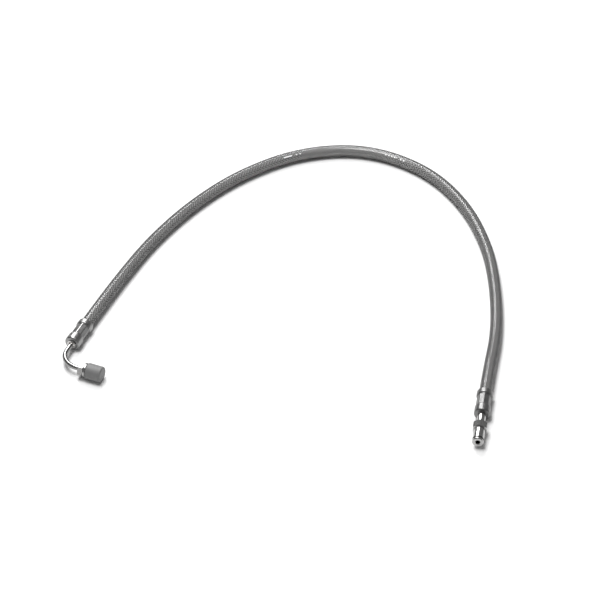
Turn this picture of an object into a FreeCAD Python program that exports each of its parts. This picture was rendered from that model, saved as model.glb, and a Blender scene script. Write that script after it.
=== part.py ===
import FreeCAD, Part
import math
import os
from FreeCAD import Rotation, Vector

# Braided supply hose, laid in an arch on a flat surface.
# Millimetres. +Z is up and z = 0 is the surface that it lies on. The origin is on that surface, in the
# middle of the two end fittings. The hose arches towards +Y and both fittings point towards -Y.
#
# Each fitting is drawn along its own +X axis: x = 0 is the hose's cut end, the hose lies at x < 0, and
# the fitting's nose points along +X. It is then turned and moved to the end of the hose.

# ---- the hose -------------------------------------------------------------------------------------
HOSE_OD = 12.0
BRAID_OD = 11.3
LINER_OD = 10.0
LINER_ID = 6.5
LYING_Z = HOSE_OD / 2
FITTING_Z = 7.5

# The hose's route, from its left cut end over the arch to its right cut end.
ROUTE = [
    (-186.0, 59.0, FITTING_Z),
    (-166.5, 105.0, FITTING_Z),
    (-146.0, 152.0, 7.0),
    (-120.0, 206.0, LYING_Z),
    (-83.0, 261.0, LYING_Z),
    (-37.0, 309.0, LYING_Z),
    (21.0, 344.0, LYING_Z),
    (86.0, 350.0, LYING_Z),
    (144.5, 317.0, LYING_Z),
    (181.0, 262.0, LYING_Z),
    (200.0, 196.0, LYING_Z),
    (205.0, 133.0, LYING_Z),
    (203.0, 69.0, LYING_Z),
    (193.0, 15.0, FITTING_Z),
    (185.5, -38.5, FITTING_Z),
]
ARC_SHARE = 0.45

# ---- the crimped ferrules -------------------------------------------------------------------------
MOUTH_X = -24.0
RING_LENGTH = 5.5
RING_OD = 15.0
RING_ROUND = 0.9
CRIMP_OD = 13.4
CRIMP_DEPTH = 0.4
CRIMP_SLOPE = 0.8
CRIMP_JAWS = 9
RIDGE_WIDTH = 0.9
JAW_MARGIN = 1.2
JAW_END_SLOPE = 0.3
SHOULDER_X = -3.0
SHOULDER_OD = 14.8
SHOULDER_ROUND = 1.8
FERRULE_END_X = 6.0
END_WALL = 2.6
MOUTH_FLARE = 0.35
MOUTH_FLARE_LENGTH = 2.0
JACKET_END_X = MOUTH_X + 6.0
NECK_OD = 8.2
COLLAR_OD = 9.6

# ---- the barbed tails inside the hose ----------------------------------------------------------
TAIL_X = -21.5
BARB_COUNT = 5
BARB_PITCH = 3.8
BARB_BACK = 0.6
BARB_ROOT_OD = 5.7
TAIL_BORE = 4.2

# ---- left end: bent tube, tube nut and thread cap -----------------------------------------------
TUBE_OD = 4.75
TUBE_ID = 3.35
TUBE_SEAT_X = 2.4
INSERT_FRONT_X = 7.0
BRAZE_OD = 7.0
BRAZE_LENGTH = 1.3
BRAZE_HOLLOW = 0.3
BEND_CORNER_X = 34.2
BEND_RADIUS = 18.0
BEND_TURN = 90.0
# Stations along the tube's second leg, from the corner where the two legs' axes cross.
NUT_BACK = 22.0
HEX_LENGTH = 5.2
HEX_FLATS = 13.0
NUT_TURN = 8.0
HEX_CHAMFER = 0.6
HEX_LAND_INSET = 0.1
FLANGE_OD = 13.6
FLANGE_LENGTH = 2.1
FLANGE_FOOT_OD = 12.2
FLANGE_CHAMFER = 0.4
UNDERCUT_OD = 10.6
THREAD_START = 30.2
THREAD_OD = 12.0
THREAD_PITCH = 1.0
THREAD_TURNS = 8
THREAD_DEPTH = 0.6
THREAD_ALLOWANCE = 0.05
THREAD_CREST_SHARE = 0.16
THREAD_RUN_OUT = 0.3
NOSE_LENGTH = 1.8
NOSE_OD = 10.2
NUT_CLEARANCE = 0.15
FLARE_OD = 7.2
FLARE_LENGTH = 1.4
FLARE_LAND = 0.7
FLARE_CONE = 0.75
FLARE_GAP = 0.1
CAP_START = 29.9
CAP_LENGTH = 14.9
CAP_OD = 15.0
CAP_ID = 12.4
CAP_END_WALL = 1.6
CAP_ROUND = 1.6
CAP_MOUTH_CHAMFER = 0.4
CAP_MOUTH_ROUND = 0.3

# ---- right end: one turned stem with its spigot ---------------------------------------------------
STEM_NECK_OD = 8.0
STEM_NECK_END_X = 19.0
STEM_HEX_LENGTH = 8.0
STEM_HEX_FLATS = 12.4
STEM_HEX_TURN = 30.0
SPIGOT_OD = 10.5
SPIGOT_END_X = 43.0
TIP_LIP = 1.7
GROOVE_WIDTH = 1.9
GROOVE_OD = 7.4
TIP_CHAMFER = 0.6
BORE_CHAMFER = 0.5
O_RING_SECTION = 1.45
O_RING_OD = 10.4

# How far a solid that will be fused, or a cutter, runs past the face that it has to cross.
OVERRUN = 1.0

X_AXIS = Vector(1, 0, 0)
Z_AXIS = Vector(0, 0, 1)
CENTRE = Vector(0, 0, 0)


def turned(profile):
    """A solid of revolution about X from its half section, a list of (x, radius)."""
    points = [Vector(x, 0, radius) for x, radius in profile]
    face = Part.Face(Part.makePolygon(points + points[:1]))
    return face.revolve(CENTRE, X_AXIS, 360)


def rod(diameter, start, end):
    """A plain cylinder along X."""
    return Part.makeCylinder(diameter / 2, end - start, Vector(start, 0, 0), X_AXIS)


def round_edges(shape, radius, wanted):
    """Fillet the circular edges that lie at the wanted (x, edge radius) places."""
    edges = []
    for edge in shape.Edges:
        if not isinstance(edge.Curve, Part.Circle):
            continue
        for x, edge_radius in wanted:
            if abs(edge.Curve.Center.x - x) < 0.01 and abs(edge.Curve.Radius - edge_radius) < 0.01:
                edges.append(edge)
    return shape.makeFillet(radius, edges)


def hexagon(flats, start, length, turn=0):
    """A hexagonal bar along X, turned from having a flat on top, with its corners turned off."""
    corner = flats / math.sqrt(3)
    points = []
    for side in range(6):
        angle = math.radians(60 * side + turn)
        points.append(Vector(start, corner * math.cos(angle), corner * math.sin(angle)))
    bar = Part.Face(Part.makePolygon(points + points[:1])).extrude(Vector(length, 0, 0))
    land = flats / 2 - HEX_LAND_INSET
    end = start + length
    turned_blank = turned(
        [
            (start, 0),
            (start, land),
            (start + HEX_CHAMFER, corner),
            (end - HEX_CHAMFER, corner),
            (end, land),
            (end, 0),
        ]
    )
    return bar.common(turned_blank)


def one_solid(shape):
    """The single solid that a boolean result holds."""
    solids = shape.removeSplitter().Solids
    assert len(solids) == 1, f"expected one solid, got {len(solids)}"
    return solids[0]


# ---- the hose's three layers ----------------------------------------------------------------------
def hose_path(trim, report=False):
    """Straight runs joined by tangent arcs, cut back by trim at both ends."""
    points = [Vector(*point) for point in ROUTE]
    starts, ends = [points[0]], []
    arcs = []
    for before, corner, after in zip(points, points[1:], points[2:]):
        way_in = (corner - before).normalize()
        way_out = (after - corner).normalize()
        shorter = min((corner - before).Length, (after - corner).Length)
        half_turn = way_in.getAngle(way_out) / 2
        reach = ARC_SHARE * shorter
        radius = reach / math.tan(half_turn)
        first = corner - way_in * reach
        last = corner + way_out * reach
        to_centre = (way_out - way_in).normalize()
        centre = corner + to_centre * (radius / math.cos(half_turn))
        middle = centre - to_centre * radius
        arcs.append(Part.Arc(first, middle, last).toShape())
        ends.append(first)
        starts.append(last)
        if report:
            print(f"  turn {math.degrees(2 * half_turn):5.1f} deg, arc radius {radius:8.1f}")
    ends.append(points[-1])
    starts[0] = starts[0] + (points[1] - points[0]).normalize() * trim
    ends[-1] = ends[-1] + (points[-2] - points[-1]).normalize() * trim
    edges = []
    for index, (start, end) in enumerate(zip(starts, ends)):
        edges.append(Part.LineSegment(start, end).toShape())
        if index < len(arcs):
            edges.append(arcs[index])
    return Part.Wire(edges)


def hose_layer(outer, inner, trim):
    """One layer of the hose: a ring swept along the route."""
    path = hose_path(trim)
    start = path.Vertexes[0].Point
    along = Vector(*ROUTE[1]) - Vector(*ROUTE[0])
    rings = [Part.Wire(Part.makeCircle(size / 2, start, along)) for size in (outer, inner)]
    bodies = [path.makePipeShell([ring], True, False) for ring in rings]
    layer = bodies[0].cut(bodies[1])
    section = math.pi / 4 * (outer**2 - inner**2)
    share = layer.Volume / (section * path.Length)
    print(f"  length {path.Length:.1f}, volume over section x length {share:.4f}")
    return layer.Solids[0]


# ---- pieces at both ends --------------------------------------------------------------------------
def ferrule():
    """The crimped sleeve: bell ring over the jacket, flat jaw marks, shoulder and end wall. A ridge between
    two marks is on top."""
    ring_end = MOUTH_X + RING_LENGTH
    crimp = CRIMP_OD / 2
    shell = turned(
        [
            (MOUTH_X, HOSE_OD / 2 + MOUTH_FLARE),
            (MOUTH_X, RING_OD / 2),
            (ring_end, RING_OD / 2),
            (ring_end + CRIMP_SLOPE, crimp),
            (SHOULDER_X - CRIMP_SLOPE, crimp),
            (SHOULDER_X, SHOULDER_OD / 2),
            (FERRULE_END_X, SHOULDER_OD / 2),
            (FERRULE_END_X, NECK_OD / 2),
            (FERRULE_END_X - END_WALL, NECK_OD / 2),
            (FERRULE_END_X - END_WALL, COLLAR_OD / 2),
            (0, COLLAR_OD / 2),
            (0, BRAID_OD / 2),
            (JACKET_END_X, BRAID_OD / 2),
            (JACKET_END_X, HOSE_OD / 2),
            (MOUTH_X + MOUTH_FLARE_LENGTH, HOSE_OD / 2),
        ]
    )
    shell = round_edges(shell, RING_ROUND, [(MOUTH_X, RING_OD / 2), (ring_end, RING_OD / 2)])
    shell = round_edges(shell, SHOULDER_ROUND, [(FERRULE_END_X, SHOULDER_OD / 2)])
    shell = round_edges(shell, SHOULDER_ROUND, [(SHOULDER_X, SHOULDER_OD / 2)])
    floor = crimp - CRIMP_DEPTH
    half_width = math.pi * crimp / CRIMP_JAWS - RIDGE_WIDTH / 2
    jaw_start = ring_end + JAW_MARGIN
    jaw_end = SHOULDER_X - JAW_MARGIN
    outline = [
        Vector(jaw_start, -half_width, floor),
        Vector(jaw_end, -half_width, floor),
        Vector(jaw_end + JAW_END_SLOPE, -half_width, crimp + OVERRUN),
        Vector(jaw_start - JAW_END_SLOPE, -half_width, crimp + OVERRUN),
    ]
    mark = Part.Face(Part.makePolygon(outline + outline[:1])).extrude(Vector(0, 2 * half_width, 0))
    for jaw in range(CRIMP_JAWS):
        cutter = mark.copy()
        cutter.rotate(CENTRE, X_AXIS, 360 / CRIMP_JAWS * (jaw + 0.5))
        shell = shell.cut(cutter)
    return shell.Solids[0]


def barbed_tail(front):
    """The half section of a tail with saw-tooth barbs, as far as the collar's front at x = front."""
    root = BARB_ROOT_OD / 2
    crest = LINER_ID / 2
    profile = [(TAIL_X, TAIL_BORE / 2), (TAIL_X, root)]
    for barb in range(BARB_COUNT):
        barb_end = TAIL_X + (barb + 1) * BARB_PITCH
        profile += [(barb_end - BARB_BACK, crest), (barb_end, root)]
    profile += [(0, root), (0, COLLAR_OD / 2), (FERRULE_END_X - END_WALL, COLLAR_OD / 2)]
    profile += [(FERRULE_END_X - END_WALL, NECK_OD / 2), (front, NECK_OD / 2)]
    return profile


# ---- left end -------------------------------------------------------------------------------------
def left_insert():
    """The barbed insert, with a socket in its front for the bent tube."""
    profile = barbed_tail(INSERT_FRONT_X)
    profile += [
        (INSERT_FRONT_X, TUBE_OD / 2),
        (TUBE_SEAT_X, TUBE_OD / 2),
        (TUBE_SEAT_X, TAIL_BORE / 2),
    ]
    return turned(profile)


def braze_fillet():
    """The ring of filler metal in the corner between the insert's front and the tube."""
    tube = TUBE_OD / 2
    foot = BRAZE_OD / 2
    corner = Vector(INSERT_FRONT_X, 0, tube)
    rim = Vector(INSERT_FRONT_X, 0, foot)
    tip = Vector(INSERT_FRONT_X + BRAZE_LENGTH, 0, tube)
    hollow = Vector(INSERT_FRONT_X + BRAZE_LENGTH * BRAZE_HOLLOW, 0, tube + (foot - tube) * BRAZE_HOLLOW)
    outline = Part.Wire(
        [
            Part.LineSegment(tip, corner).toShape(),
            Part.LineSegment(corner, rim).toShape(),
            Part.Arc(rim, hollow, tip).toShape(),
        ]
    )
    return Part.Face(outline).revolve(CENTRE, X_AXIS, 360)


def second_leg_frame(shape):
    """Move a piece drawn along X from the corner onto the tube's second leg."""
    moved = shape.copy()
    moved.rotate(CENTRE, Z_AXIS, BEND_TURN)
    moved.translate(Vector(BEND_CORNER_X, 0, 0))
    return moved


def bent_tube():
    """The thin tube: seat in the insert, one flat bend, and a flared end that holds the nut on."""
    flare_back = NUT_BACK + nut_length() + FLARE_GAP
    flare_front = flare_back + FLARE_LENGTH
    flare_tip = flare_front + FLARE_CONE
    seat = Vector(TUBE_SEAT_X, 0, 0)
    bend_start = Vector(BEND_CORNER_X - BEND_RADIUS, 0, 0)
    bend_end = Vector(BEND_CORNER_X, BEND_RADIUS, 0)
    bend_centre = Vector(BEND_CORNER_X - BEND_RADIUS, BEND_RADIUS, 0)
    bend_middle = bend_centre + Vector(1, -1, 0).normalize() * BEND_RADIUS
    path = Part.Wire(
        [
            Part.LineSegment(seat, bend_start).toShape(),
            Part.Arc(bend_start, bend_middle, bend_end).toShape(),
            Part.LineSegment(bend_end, Vector(BEND_CORNER_X, flare_front, 0)).toShape(),
        ]
    )
    walls = [Part.Wire(Part.makeCircle(size / 2, seat, X_AXIS)) for size in (TUBE_OD, TUBE_ID)]
    outside, inside = [path.makePipeShell([wall], True, False) for wall in walls]
    flare = turned(
        [
            (flare_back, 0),
            (flare_back, FLARE_OD / 2),
            (flare_back + FLARE_LAND, FLARE_OD / 2),
            (flare_tip, TUBE_OD / 2),
            (flare_tip, 0),
        ]
    )
    bore = rod(TUBE_ID, flare_back - OVERRUN, flare_tip + OVERRUN)
    tube = outside.fuse(second_leg_frame(flare)).cut(inside).cut(second_leg_frame(bore))
    return one_solid(tube)


def thread_end():
    """Where the nut's thread stops along the second leg."""
    return THREAD_START + THREAD_PITCH * THREAD_TURNS


def nut_length():
    """The tube nut from the back of its hexagon to the front of its nose."""
    return thread_end() + NOSE_LENGTH - NUT_BACK


def tube_nut():
    """The hexagonal tube nut with a round flange and male thread, free to turn behind the flare."""
    hex_end = NUT_BACK + HEX_LENGTH
    flange_end = hex_end + FLANGE_LENGTH
    flange = FLANGE_OD / 2
    head = hexagon(HEX_FLATS, NUT_BACK, HEX_LENGTH, NUT_TURN)
    crest = THREAD_OD / 2 - THREAD_ALLOWANCE
    root = crest - THREAD_DEPTH
    crest_half = THREAD_PITCH * THREAD_CREST_SHARE / 2
    profile = [
        (hex_end - OVERRUN, 0),
        (hex_end - OVERRUN, FLANGE_FOOT_OD / 2),
        (hex_end, FLANGE_FOOT_OD / 2),
        (hex_end + FLANGE_CHAMFER, flange),
        (flange_end - FLANGE_CHAMFER, flange),
        (flange_end, flange - FLANGE_CHAMFER),
        (flange_end, UNDERCUT_OD / 2),
        (THREAD_START - THREAD_RUN_OUT, UNDERCUT_OD / 2),
        (THREAD_START, root),
    ]
    for turn in range(THREAD_TURNS):
        middle = THREAD_START + (turn + 0.5) * THREAD_PITCH
        profile += [
            (middle - crest_half, crest),
            (middle + crest_half, crest),
            (middle + THREAD_PITCH / 2, root),
        ]
    nose_end = NUT_BACK + nut_length()
    profile += [
        (thread_end() + THREAD_RUN_OUT, NOSE_OD / 2),
        (nose_end, NOSE_OD / 2),
        (nose_end, 0),
    ]
    nut = head.fuse(turned(profile))
    bore = rod(TUBE_OD + 2 * NUT_CLEARANCE, NUT_BACK - OVERRUN, nose_end + OVERRUN)
    return second_leg_frame(one_solid(nut.cut(bore)))


def thread_cap():
    """The push-on plastic cap that covers the thread."""
    end = CAP_START + CAP_LENGTH
    cap = turned(
        [
            (CAP_START, CAP_ID / 2 + CAP_MOUTH_CHAMFER),
            (CAP_START, CAP_OD / 2),
            (end, CAP_OD / 2),
            (end, 0),
            (end - CAP_END_WALL, 0),
            (end - CAP_END_WALL, CAP_ID / 2),
            (CAP_START + CAP_MOUTH_CHAMFER, CAP_ID / 2),
        ]
    )
    cap = round_edges(cap, CAP_ROUND, [(end, CAP_OD / 2)])
    cap = round_edges(cap, CAP_MOUTH_ROUND, [(CAP_START, CAP_OD / 2)])
    return second_leg_frame(cap)


# ---- right end ------------------------------------------------------------------------------------
def right_stem():
    """The turned stem: barbed tail, neck, hexagon and sealing spigot around one bore."""
    hex_end = STEM_NECK_END_X + STEM_HEX_LENGTH
    spigot = SPIGOT_OD / 2
    groove_end = SPIGOT_END_X - TIP_LIP
    groove_start = groove_end - GROOVE_WIDTH
    profile = barbed_tail(FERRULE_END_X)
    profile += [
        (FERRULE_END_X, STEM_NECK_OD / 2),
        (hex_end - OVERRUN, STEM_NECK_OD / 2),
        (hex_end - OVERRUN, spigot),
        (groove_start, spigot),
        (groove_start, GROOVE_OD / 2),
        (groove_end, GROOVE_OD / 2),
        (groove_end, spigot),
        (SPIGOT_END_X - TIP_CHAMFER, spigot),
        (SPIGOT_END_X, spigot - TIP_CHAMFER),
        (SPIGOT_END_X, TAIL_BORE / 2 + BORE_CHAMFER),
        (SPIGOT_END_X - BORE_CHAMFER, TAIL_BORE / 2),
    ]
    hexagon_bar = hexagon(STEM_HEX_FLATS, STEM_NECK_END_X, STEM_HEX_LENGTH, STEM_HEX_TURN)
    hexagon_ring = hexagon_bar.cut(rod(TAIL_BORE, STEM_NECK_END_X - OVERRUN, hex_end + OVERRUN))
    return one_solid(turned(profile).fuse(hexagon_ring))


def spigot_o_ring():
    """The rubber ring in the spigot's groove, at the size it has once pressed into a socket."""
    groove_middle = SPIGOT_END_X - TIP_LIP - GROOVE_WIDTH / 2
    section = O_RING_SECTION / 2
    return Part.makeTorus(O_RING_OD / 2 - section, section, Vector(groove_middle, 0, 0), X_AXIS)


# ---- assembly -------------------------------------------------------------------------------------
def at_end(shape, end, neighbour):
    """Turn and move a piece from its own axis to one end of the hose."""
    outward = Vector(*ROUTE[end]) - Vector(*ROUTE[neighbour])
    heading = math.degrees(math.atan2(outward.y, outward.x))
    placed = shape.copy()
    placed.Placement = FreeCAD.Placement(Vector(*ROUTE[end]), Rotation(Z_AXIS, heading)) * placed.Placement
    return placed


def main():
    os.makedirs("parts", exist_ok=True)
    print("hose route")
    hose_path(0, report=True)
    one_ferrule = ferrule()
    jacket_trim = -JACKET_END_X
    nodes = {
        "hose_liner": hose_layer(LINER_OD, LINER_ID, 0),
        "hose_braid": hose_layer(BRAID_OD, LINER_OD, 0),
        "hose_jacket": hose_layer(HOSE_OD, BRAID_OD, jacket_trim),
        "left_ferrule": at_end(one_ferrule, 0, 1),
        "left_insert": at_end(left_insert(), 0, 1),
        "bent_tube": at_end(bent_tube(), 0, 1),
        "braze_fillet": at_end(braze_fillet(), 0, 1),
        "tube_nut": at_end(tube_nut(), 0, 1),
        "thread_cap": at_end(thread_cap(), 0, 1),
        "right_ferrule": at_end(one_ferrule, -1, -2),
        "right_stem": at_end(right_stem(), -1, -2),
        "spigot_o_ring": at_end(spigot_o_ring(), -1, -2),
    }
    for name, shape in nodes.items():
        box = shape.optimalBoundingBox()
        print(f"{name}: valid {shape.isValid()}, {shape.Volume:.0f} mm3")
        print(f"  x {box.XMin:.1f}..{box.XMax:.1f}, y {box.YMin:.1f}..{box.YMax:.1f}")
        print(f"  z {box.ZMin:.2f}..{box.ZMax:.2f}")
        shape.exportStep(f"parts/{name}.step")


main()
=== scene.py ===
import math

import bpy
import numpy as np
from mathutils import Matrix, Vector


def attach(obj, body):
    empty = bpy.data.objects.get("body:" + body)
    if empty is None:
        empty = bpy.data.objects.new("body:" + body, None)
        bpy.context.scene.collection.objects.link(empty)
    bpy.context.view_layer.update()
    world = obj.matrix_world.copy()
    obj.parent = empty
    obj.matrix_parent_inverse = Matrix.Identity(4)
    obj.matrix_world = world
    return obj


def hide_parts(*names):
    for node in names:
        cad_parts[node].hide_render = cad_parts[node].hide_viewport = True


# The looks of a braided supply hose. Metres, in the part's own frame: +Z up, the floor at z = 0.
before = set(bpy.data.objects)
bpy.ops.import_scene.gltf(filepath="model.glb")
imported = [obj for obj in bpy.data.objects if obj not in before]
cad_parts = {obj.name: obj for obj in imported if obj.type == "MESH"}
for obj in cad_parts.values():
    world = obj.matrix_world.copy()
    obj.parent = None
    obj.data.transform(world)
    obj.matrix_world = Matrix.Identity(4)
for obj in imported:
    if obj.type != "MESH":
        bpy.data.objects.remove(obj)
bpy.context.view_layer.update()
MM = 0.001

# ---- camera ---------------------------------------------------------------------------------------
CAMERA_TARGET = Vector((0.026, 0.118, 0.0))
CAMERA_ELEVATION = math.radians(40)
CAMERA_DISTANCE = 3.169
CAMERA_LENS_MM = 200
CAMERA_SENSOR_MM = 36
CAMERA_CLIP_END = 30


def make_camera():
    """A long lens looking along +Y and down at the hose."""
    data = bpy.data.cameras.new("camera")
    data.lens = CAMERA_LENS_MM
    data.sensor_width = CAMERA_SENSOR_MM
    data.clip_end = CAMERA_CLIP_END
    camera = bpy.data.objects.new("camera", data)
    towards_camera = Vector((0, -math.cos(CAMERA_ELEVATION), math.sin(CAMERA_ELEVATION)))
    camera.location = CAMERA_TARGET + towards_camera * CAMERA_DISTANCE
    camera.rotation_euler = (math.pi / 2 - CAMERA_ELEVATION, 0, 0)
    bpy.context.scene.collection.objects.link(camera)
    bpy.context.scene.camera = camera


make_camera()

# ---- the hose's line ------------------------------------------------------------------------------
# Control points from the left cut end over the arch to the right cut end.
ROUTE = [
    (-0.1860, 0.0590, 0.0075),
    (-0.1665, 0.1050, 0.0075),
    (-0.1460, 0.1520, 0.0070),
    (-0.1200, 0.2060, 0.0060),
    (-0.0830, 0.2610, 0.0060),
    (-0.0370, 0.3090, 0.0060),
    (0.0210, 0.3440, 0.0060),
    (0.0860, 0.3500, 0.0060),
    (0.1445, 0.3170, 0.0060),
    (0.1810, 0.2620, 0.0060),
    (0.2000, 0.1960, 0.0060),
    (0.2050, 0.1330, 0.0060),
    (0.2030, 0.0690, 0.0060),
    (0.1930, 0.0150, 0.0075),
    (0.1855, -0.0385, 0.0075),
]
CURVE_RESOLUTION = 24
HOSE_RADIUS = 6.0 * MM
JACKET_WALL = 0.35 * MM
LINER_RADIUS = 5.0 * MM
LINER_BORE = 3.25 * MM
# From the hose's cut end to the ferrule's mouth, and how far the jacket reaches into the mouth.
MOUTH_DEPTH = 24.0 * MM
JACKET_IN_MOUTH = 6.0 * MM
# How finely the smooth tubes are divided: along the hose, and round it.
JACKET_STEP, JACKET_SEGMENTS = 2 * MM, 48
LINER_STEP, LINER_SEGMENTS = 3 * MM, 32


def read_route():
    """Points down the middle of the hose, read from a NURBS spline through the route."""
    curve = bpy.data.curves.new("hose_route", "CURVE")
    curve.dimensions = "3D"
    curve.resolution_u = CURVE_RESOLUTION
    spline = curve.splines.new("NURBS")
    spline.points.add(len(ROUTE) - 1)
    for control, point in zip(spline.points, ROUTE):
        control.co = (*point, 1)
    spline.order_u = 3
    spline.use_endpoint_u = True
    holder = bpy.data.objects.new("hose_route", curve)
    mesh = bpy.data.meshes.new_from_object(holder)
    line = np.array([vertex.co for vertex in mesh.vertices])
    bpy.data.objects.remove(holder)
    bpy.data.meshes.remove(mesh)
    bpy.data.curves.remove(curve)
    return line


LINE = read_route()
LINE_STATIONS = np.concatenate([[0], np.cumsum(np.linalg.norm(np.diff(LINE, axis=0), axis=1))])
LINE_LENGTH = LINE_STATIONS[-1]
LINE_TANGENTS = np.gradient(LINE, LINE_STATIONS, axis=0)


def at_station(values, station):
    """The line's values at any distances along it."""
    return np.stack([np.interp(station, LINE_STATIONS, values[:, k]) for k in range(3)], axis=-1)


def hose_points(station, angle, radius):
    """Points round the hose: angle 0 is its top, and a quarter turn is its right side."""
    tangent = at_station(LINE_TANGENTS, station)
    tangent /= np.linalg.norm(tangent, axis=-1, keepdims=True)
    side = np.cross(tangent, [0.0, 0.0, 1.0])
    side /= np.linalg.norm(side, axis=-1, keepdims=True)
    up = np.cross(side, tangent)
    turn = np.asarray(angle)[..., None]
    reach = np.asarray(radius)[..., None]
    return at_station(LINE, station) + reach * (np.cos(turn) * up + np.sin(turn) * side)


# ---- mesh helpers ---------------------------------------------------------------------------------
def mesh_object(name, vertices, faces, attributes=None):
    """A smooth mesh object, with one number per vertex for each attribute."""
    mesh = bpy.data.meshes.new(name)
    mesh.from_pydata(vertices.reshape(-1, 3).tolist(), [], faces)
    for label, values in (attributes or {}).items():
        mesh.attributes.new(label, "FLOAT", "POINT").data.foreach_set("value", values.ravel())
    mesh.polygons.foreach_set("use_smooth", [True] * len(mesh.polygons))
    mesh.update()
    made = bpy.data.objects.new(name, mesh)
    bpy.context.scene.collection.objects.link(made)
    return made


def grid_faces(rows, columns, first=0, close_rows=False):
    """Quads between rows of vertices that close on themselves.

    close_rows also joins the last row to the first."""
    faces = []
    for row in range(rows if close_rows else rows - 1):
        here = first + row * columns
        there = first + (row + 1) % rows * columns
        for column in range(columns):
            after = (column + 1) % columns
            faces.append((here + column, there + column, there + after, here + after))
    return faces


def end_faces(rings, columns, first=0):
    """The two faces that close the ends of a row of rings."""
    last = first + (rings - 1) * columns
    return [tuple(range(first, first + columns)), tuple(reversed(range(last, last + columns)))]


def tube(name, start, end, outer, inner, step, segments):
    """A closed tube with a wall, along the hose from one station to another."""
    stations = np.linspace(start, end, math.ceil((end - start) / step) + 1)
    loop_stations = np.concatenate([stations, stations[::-1]])
    loop_radii = np.repeat([outer, inner], len(stations))
    angles = np.arange(segments) * 2 * math.pi / segments
    station, angle = np.meshgrid(loop_stations, angles, indexing="ij")
    radius = np.repeat(loop_radii[:, None], segments, axis=1)
    vertices = hose_points(station, angle, radius)
    return mesh_object(name, vertices, grid_faces(len(loop_stations), segments, close_rows=True))


# ---- the woven braid ------------------------------------------------------------------------------
STRANDS_EACH_WAY = 12
WIRES_PER_STRAND = 7
# The length of hose in which a strand goes once round, and the radius it winds at.
BRAID_LEAD = 40.0 * MM
BRAID_MIDDLE = 5.32 * MM
# How far a strand rises and dips from that radius.
WEAVE_HEIGHT = 0.15 * MM
STRAND_WIDTH = 1.98 * MM
STRAND_HALF_THICKNESS = 0.14 * MM
STATIONS_PER_WAVE = 8
STRANDS_PER_PIECE = 6
# A strand's outline: (place across it, height), in widths and half thicknesses.
STRAND_SECTION = [(-0.5, 0.0), (-0.27, 1.0), (0.27, 1.0), (0.5, 0.0), (0.27, -0.8), (-0.27, -0.8)]
BRAID_ANGLE = math.atan(2 * math.pi * BRAID_MIDDLE / BRAID_LEAD)


def strand(number, direction):
    """One flat strand, which goes over two and under two of the strands that wind the other way.

    Gives its vertices, their place across the strand and their lift in the weave, 0 (under) to 1 (over)."""
    wave = 2 * BRAID_LEAD / STRANDS_EACH_WAY
    stations = np.linspace(0, LINE_LENGTH, math.ceil(LINE_LENGTH / wave * STATIONS_PER_WAVE) + 1)
    crossings = 2 * number + direction * 2 * STRANDS_EACH_WAY * stations / BRAID_LEAD
    lift = direction * np.sin(math.pi / 2 * np.cos(2 * math.pi * (crossings - 0.5) / 4))
    centre_angle = 2 * math.pi * (number / STRANDS_EACH_WAY + direction * stations / BRAID_LEAD)
    across = np.array([place for place, _ in STRAND_SECTION])
    height = np.array([rise for _, rise in STRAND_SECTION])
    offset = across[None, :] * STRAND_WIDTH
    station = stations[:, None] - direction * math.sin(BRAID_ANGLE) * offset
    angle = centre_angle[:, None] + math.cos(BRAID_ANGLE) * offset / BRAID_MIDDLE
    radius = BRAID_MIDDLE + WEAVE_HEIGHT * lift[:, None] + STRAND_HALF_THICKNESS * height[None, :]
    station = np.clip(station, 0, LINE_LENGTH)
    vertices = hose_points(station, angle, radius)
    shape = radius.shape
    return vertices, np.broadcast_to(across, shape), np.broadcast_to((lift[:, None] + 1) / 2, shape)


def braid_piece(name, numbers, direction):
    """Several strands of the braid that wind the same way, as one mesh."""
    points, across, lift, faces = [], [], [], []
    first = 0
    for number in numbers:
        vertices, place, rise = strand(number, direction)
        rings, sides = vertices.shape[:2]
        faces += grid_faces(rings, sides, first) + end_faces(rings, sides, first)
        points.append(vertices.reshape(-1, 3))
        across.append(place.ravel())
        lift.append(rise.ravel())
        first += rings * sides
    attributes = {"across": np.concatenate(across), "lift": np.concatenate(lift)}
    return mesh_object(name, np.concatenate(points), faces, attributes)


def make_braid():
    """All of the strands, in pieces of a few strands each."""
    pieces = []
    for direction, hand in ((1, "right"), (-1, "left")):
        for first in range(0, STRANDS_EACH_WAY, STRANDS_PER_PIECE):
            numbers = range(first, first + STRANDS_PER_PIECE)
            name = f"braid_{hand}_hand_{first // STRANDS_PER_PIECE + 1}"
            pieces.append(braid_piece(name, numbers, direction))
    return pieces


# ---- the printed marks ----------------------------------------------------------------------------
# Each group starts at a distance along the hose and holds plain bars: (start, length) in mm after that.
PRINT_GROUPS = [
    (340.5 * MM, [(0.0, 9.0), (13.0, 1.6), (17.0, 1.6)]),
    (446.5 * MM, [(0.0, 1.6), (3.4, 1.6), (6.8, 1.6), (10.2, 1.6), (17.0, 1.8), (20.4, 1.8)]),
]
PRINT_ANGLE = math.radians(38)
PRINT_HEIGHT = 1.3 * MM
PRINT_LIFT = 0.02 * MM
PRINT_STEP = 0.5 * MM
# A bar's outline: the place across it, in half heights, and the place off the jacket's skin, in lifts.
BAR_ACROSS = np.array([-1, 0, 1, 1, 0, -1])
BAR_ABOVE = np.array([1, 1, 1, -1, -1, -1])


def print_bar(start, length):
    """Vertices of one thin bar of ink lying on the jacket, in rings of one outline each."""
    rings = max(3, math.ceil(length / PRINT_STEP) + 1)
    half_turn = PRINT_HEIGHT / 2 / HOSE_RADIUS
    station = np.repeat(np.linspace(start, start + length, rings)[:, None], len(BAR_ACROSS), axis=1)
    angle = np.broadcast_to(PRINT_ANGLE + half_turn * BAR_ACROSS, station.shape)
    radius = np.broadcast_to(HOSE_RADIUS + PRINT_LIFT * BAR_ABOVE, station.shape)
    return hose_points(station, angle, radius)


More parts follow.
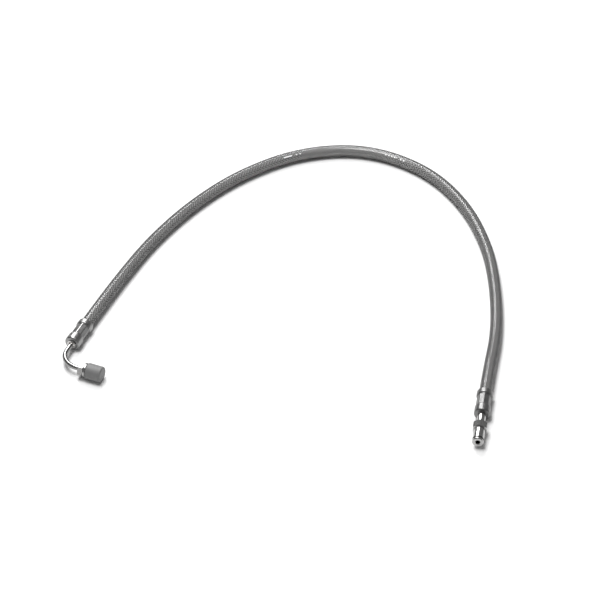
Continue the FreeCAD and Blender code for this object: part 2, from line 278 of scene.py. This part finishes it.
def make_print():
    """Every bar of ink, as one piece."""
    points, faces = [], []
    first = 0
    for group_start, bars in PRINT_GROUPS:
        for start, length in bars:
            vertices = print_bar(group_start + start * MM, length * MM)
            rings, sides = vertices.shape[:2]
            faces += grid_faces(rings, sides, first) + end_faces(rings, sides, first)
            points.append(vertices.reshape(-1, 3))
            first += rings * sides
    return mesh_object("print_marks", np.concatenate(points), faces)


# ---- materials ------------------------------------------------------------------------------------
class Surface:
    """A Principled material, with short calls for its nodes."""

    def __init__(self, name, **sockets):
        self.material = bpy.data.materials.new(name)
        self.material.use_nodes = True
        self.tree = self.material.node_tree
        self.shader = self.tree.nodes["Principled BSDF"]
        for label, value in sockets.items():
            self.shader.inputs[label.replace("_", " ")].default_value = value

    def node(self, kind, inputs=None, **properties):
        """A new node, with its settings. Each input takes a value or another node's output."""
        made = self.tree.nodes.new(kind)
        for label, value in properties.items():
            setattr(made, label, value)
        for label, value in (inputs or {}).items():
            self.set(made.inputs[label], value)
        return made

    def set(self, socket, value):
        if isinstance(value, bpy.types.NodeSocket):
            self.tree.links.new(value, socket)
        else:
            socket.default_value = value

    def place(self):
        """Where the surface is, in the part's frame, in metres."""
        return self.node("ShaderNodeTexCoord").outputs["Object"]

    def noise(self, size, detail=3.0):
        """Cloudy noise whose blobs are about that size."""
        inputs = {"Vector": self.place(), "Scale": 1 / size, "Detail": detail}
        return self.node("ShaderNodeTexNoise", inputs).outputs["Fac"]

    def turning(self, axis, size):
        """Fine marks round an axis, as a lathe leaves them."""
        along = self.node("ShaderNodeVectorMath", {0: self.place(), 1: axis}, operation="DOT_PRODUCT")
        inputs = {"W": along.outputs["Value"], "Scale": 1 / size, "Detail": 2.0}
        return self.node("ShaderNodeTexNoise", inputs, noise_dimensions="1D").outputs["Fac"]

    def ramp(self, value, low, high, from_low=0.0, from_high=1.0):
        """A value between from_low and from_high, stretched to lie between low and high."""
        inputs = {
            "Value": value,
            "From Min": from_low,
            "From Max": from_high,
            "To Min": low,
            "To Max": high,
        }
        return self.node("ShaderNodeMapRange", inputs).outputs["Result"]

    def blend(self, share, first, second):
        """A colour between two colours: the first where the share is 0, the second where it is 1."""
        mix = self.node("ShaderNodeMix", data_type="RGBA")
        self.set(mix.inputs[0], share)
        self.set(mix.inputs[6], first)
        self.set(mix.inputs[7], second)
        return mix.outputs[2]

    def colour(self, value):
        self.set(self.shader.inputs["Base Color"], value)

    def roughness(self, value):
        self.set(self.shader.inputs["Roughness"], value)

    def bump(self, height, depth):
        """Relief from a height between 0 and 1 that is that many metres deep, over any earlier relief."""
        made = self.node("ShaderNodeBump", {"Height": height, "Distance": depth})
        normal = self.shader.inputs["Normal"]
        if normal.is_linked:
            self.set(made.inputs["Normal"], normal.links[0].from_socket)
        self.set(normal, made.outputs["Normal"])


def grey(level, warmth=0.0):
    """A grey colour. Warmth adds that share of red and takes it from blue."""
    return (level * (1 + warmth), level, level * (1 - warmth), 1)


def braid_steel():
    """Stainless wires lying side by side in each strand.

    Painted shade makes it darker where the strand dips under others, and towards the hose's edges."""
    surface = Surface("braid_steel", Metallic=0.3)
    across = surface.node("ShaderNodeAttribute", attribute_name="across").outputs["Fac"]
    lift = surface.node("ShaderNodeAttribute", attribute_name="lift").outputs["Fac"]
    turns = 2 * math.pi * WIRES_PER_STRAND
    wires = surface.node("ShaderNodeMath", {0: across, 1: turns}, operation="MULTIPLY").outputs[0]
    ridges = surface.node("ShaderNodeMath", {0: wires}, operation="COSINE").outputs[0]
    # The under grey is painted shade where a strand dips beneath the crossing strands; the over grey is the
    # lit steel, and the edge grey is painted shade as well.
    under, over, stained, painted_edge_shade = grey(0.27), grey(0.38, 0.01), grey(0.18), grey(0.04)
    cloudy = surface.noise(4 * MM)
    stains = surface.ramp(cloudy, 0.0, 0.4, 0.4, 0.9)
    steel = surface.blend(stains, surface.blend(lift, under, over), stained)
    # Painted shade: where the surface turns away from view, towards the hose's rims, the colour goes over
    # to the near-black edge grey.
    facing = surface.node("ShaderNodeLayerWeight", {"Blend": 0.5}).outputs["Facing"]
    surface.colour(surface.blend(surface.ramp(facing, 0.0, 0.9, 0.15, 0.7), steel, painted_edge_shade))
    surface.roughness(surface.ramp(cloudy, 0.56, 0.70, 0.3, 0.7))
    surface.bump(surface.ramp(ridges, 0.0, 1.0, -1.0), 0.03 * MM)
    return surface.material


def liner_rubber():
    """The inner hose's black rubber."""
    surface = Surface("liner_rubber", Roughness=0.7)
    surface.colour(surface.blend(surface.noise(2 * MM), grey(0.010), grey(0.022)))
    surface.bump(surface.noise(0.3 * MM), 0.03 * MM)
    return surface.material


# The share of light that the jacket mirrors when seen square on, and what it gains at a grazing angle.
JACKET_MIRROR = 0.023
JACKET_GRAZING_GAIN = 0.2
JACKET_GRAZING_POWER = 5.0


def clear_jacket():
    """A clear skin: it mirrors by its angle and lets the rest of the light straight through."""
    surface = Surface("clear_jacket")
    nodes, links = surface.tree.nodes, surface.tree.links
    waves = surface.node("ShaderNodeBump", {"Height": surface.noise(5 * MM, 2.0), "Distance": 0.015 * MM})
    glossy = surface.node("ShaderNodeBsdfGlossy", {"Roughness": 0.12, "Normal": waves.outputs["Normal"]})
    clear = surface.node("ShaderNodeBsdfTransparent", {"Color": grey(0.93)})
    facing = surface.node("ShaderNodeLayerWeight", {"Blend": 0.5}).outputs["Facing"]
    power = {0: facing, 1: JACKET_GRAZING_POWER}
    grazing = surface.node("ShaderNodeMath", power, operation="POWER").outputs[0]
    gain = {0: grazing, 1: JACKET_GRAZING_GAIN, 2: JACKET_MIRROR}
    share = surface.node("ShaderNodeMath", gain, operation="MULTIPLY_ADD")
    mix = surface.node("ShaderNodeMixShader")
    links.new(share.outputs[0], mix.inputs[0])
    links.new(clear.outputs["BSDF"], mix.inputs[1])
    links.new(glossy.outputs["BSDF"], mix.inputs[2])
    links.new(mix.outputs["Shader"], nodes["Material Output"].inputs["Surface"])
    nodes.remove(surface.shader)
    return surface.material


def plated_steel(name, axis, level, rough, mark_size, mark_depth=0.006 * MM):
    """Bright plated steel, turned round an axis, with fine marks of that size and depth."""
    surface = Surface(name, Metallic=1.0)
    cloudy = surface.noise(3 * MM)
    surface.colour(surface.blend(cloudy, grey(level * 0.85), grey(level, 0.01)))
    surface.roughness(surface.ramp(cloudy, rough * 0.8, rough * 1.3, 0.3, 0.7))
    surface.bump(surface.turning(axis, mark_size), mark_depth)
    surface.bump(surface.noise(0.8 * MM), 0.002 * MM)
    return surface.material


def braze_metal():
    """Silver brazing metal, a little uneven."""
    surface = Surface("braze_metal", Metallic=1.0, Roughness=0.35)
    surface.colour(surface.blend(surface.noise(0.8 * MM), grey(0.40, 0.03), grey(0.58, 0.04)))
    surface.bump(surface.noise(0.6 * MM), 0.05 * MM)
    return surface.material


def cap_plastic(axis):
    """Grey moulded plastic with a fine grain and faint flow marks along the cap."""
    surface = Surface("cap_plastic", Roughness=0.5)
    surface.colour(surface.blend(surface.noise(5 * MM), grey(0.15), grey(0.19)))
    surface.roughness(surface.ramp(surface.noise(1.5 * MM), 0.42, 0.6))
    surface.bump(surface.noise(0.25 * MM), 0.02 * MM)
    surface.bump(surface.turning(axis, 1.5 * MM), 0.02 * MM)
    return surface.material


def seal_rubber():
    """Black rubber with a faint shine."""
    surface = Surface("seal_rubber", Roughness=0.45)
    surface.colour(surface.blend(surface.noise(1 * MM), grey(0.012), grey(0.02)))
    surface.bump(surface.noise(0.15 * MM), 0.01 * MM)
    return surface.material


def white_ink():
    """The ink of the printed bars."""
    surface = Surface("white_ink", Roughness=0.4)
    surface.colour(surface.blend(surface.noise(0.8 * MM), grey(0.80), grey(0.92)))
    surface.bump(surface.noise(0.2 * MM), 0.01 * MM)
    return surface.material


def floor_paint():
    """Plain pale studio floor."""
    surface = Surface("floor_paint", Roughness=0.8)
    surface.shader.inputs["Specular IOR Level"].default_value = 0.1
    surface.colour(surface.blend(surface.noise(0.15), grey(0.90), grey(0.92)))
    return surface.material


# ---- building the pieces --------------------------------------------------------------------------
def dress(piece, material, body="hose_assembly"):
    """Give a new piece its finish and the body that it moves with."""
    piece.data.materials.append(material)
    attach(piece, body)


def paint(node, material):
    """Give a CAD node a finish."""
    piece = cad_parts[node]
    if not piece.material_slots:
        piece.data.materials.append(material)
    for slot in piece.material_slots:
        slot.material = material


def outward(end, neighbour):
    """The direction in which a fitting points away from the hose."""
    return (Vector(ROUTE[end]) - Vector(ROUTE[neighbour])).normalized()


LEFT_AXIS = outward(0, 1)
RIGHT_AXIS = outward(-1, -2)
NUT_AXIS = Vector((0, 0, 1)).cross(LEFT_AXIS)


def make_hose():
    """The liner, braid, jacket and print, declared as one hose."""
    jacket_start = MOUTH_DEPTH - JACKET_IN_MOUTH
    jacket = tube(
        "hose_jacket_skin",
        jacket_start,
        LINE_LENGTH - jacket_start,
        HOSE_RADIUS,
        HOSE_RADIUS - JACKET_WALL,
        JACKET_STEP,
        JACKET_SEGMENTS,
    )
    dress(jacket, clear_jacket())
    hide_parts("hose_jacket")
    liner = tube(
        "hose_liner_tube",
        0,
        LINE_LENGTH,
        LINER_RADIUS,
        LINER_BORE,
        LINER_STEP,
        LINER_SEGMENTS,
    )
    dress(liner, liner_rubber())
    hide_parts("hose_liner")
    braid = make_braid()
    steel = braid_steel()
    for piece in braid:
        dress(piece, steel)
    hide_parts("hose_braid")
    ink = make_print()
    dress(ink, white_ink())


# Each plated piece: its name, its finish, its axis, how bright and how rough it is, and its marks.
PLATED = [
    ("left_ferrule", "left_ferrule_zinc", LEFT_AXIS, 0.28, 0.32, 0.5 * MM),
    # Both ferrules are the same zinc; the right one is a darker copy, painted shade that dims its
    # highlight.
    ("right_ferrule", "right_ferrule_zinc_painted_shade", RIGHT_AXIS, 0.22, 0.36, 0.5 * MM),
    ("left_insert", "insert_steel", LEFT_AXIS, 0.60, 0.25, 0.4 * MM),
    ("bent_tube", "tube_steel", LEFT_AXIS, 0.30, 0.18, 3.0 * MM, 0.002 * MM),
    ("tube_nut", "nut_steel", NUT_AXIS, 0.46, 0.26, 0.3 * MM),
    ("right_stem", "stem_steel", RIGHT_AXIS, 0.45, 0.2, 0.3 * MM),
]


def paint_fittings():
    """A finish for every CAD node that stays as it is."""
    for node, *finish in PLATED:
        paint(node, plated_steel(*finish))
    paint("braze_fillet", braze_metal())
    paint("thread_cap", cap_plastic(NUT_AXIS))
    paint("spigot_o_ring", seal_rubber())


make_hose()
paint_fittings()

# ---- floor and lights -----------------------------------------------------------------------------
FLOOR_REACH = 8.0
STUDIO_CENTRE = Vector((0.0, 0.14, 0.0))
ROOM_LEVEL = 0.24
# Each softbox: its name, its place from the studio's centre, its width and height, and its watts.
SOFTBOXES = [
    ("key", (-0.45, 0.25, 2.6), 1.3, 1.2, 61),
    ("back", (-0.32, 1.4, 1.6), 1.1, 0.8, 24),
    ("back_left", (-0.67, 1.82, 1.25), 0.2, 0.5, 4),
]


def make_floor():
    """A square floor, larger than any view of it."""
    corners = np.array([(-1, -1, 0), (1, -1, 0), (1, 1, 0), (-1, 1, 0)]) * FLOOR_REACH
    floor = mesh_object("floor", corners, [(0, 1, 2, 3)])
    floor.data.materials.append(floor_paint())


def softbox(name, place, width, height, power):
    """A rectangular soft light at a place, facing the middle of the studio."""
    data = bpy.data.lights.new(name, "AREA")
    data.shape = "RECTANGLE"
    data.size = width
    data.size_y = height
    data.energy = power
    light = bpy.data.objects.new(name, data)
    light.location = STUDIO_CENTRE + Vector(place)
    light.rotation_euler = (-Vector(place)).to_track_quat("-Z", "Y").to_euler()
    bpy.context.scene.collection.objects.link(light)


def make_room(level):
    """The same faint light from every side."""
    world = bpy.data.worlds.new("room")
    world.use_nodes = True
    world.node_tree.nodes["Background"].inputs["Color"].default_value = grey(1.0)
    world.node_tree.nodes["Background"].inputs["Strength"].default_value = level
    bpy.context.scene.world = world


make_floor()
make_room(ROOM_LEVEL)
for box in SOFTBOXES:
    softbox(*box)
bpy.context.scene.view_settings.view_transform = "Standard"
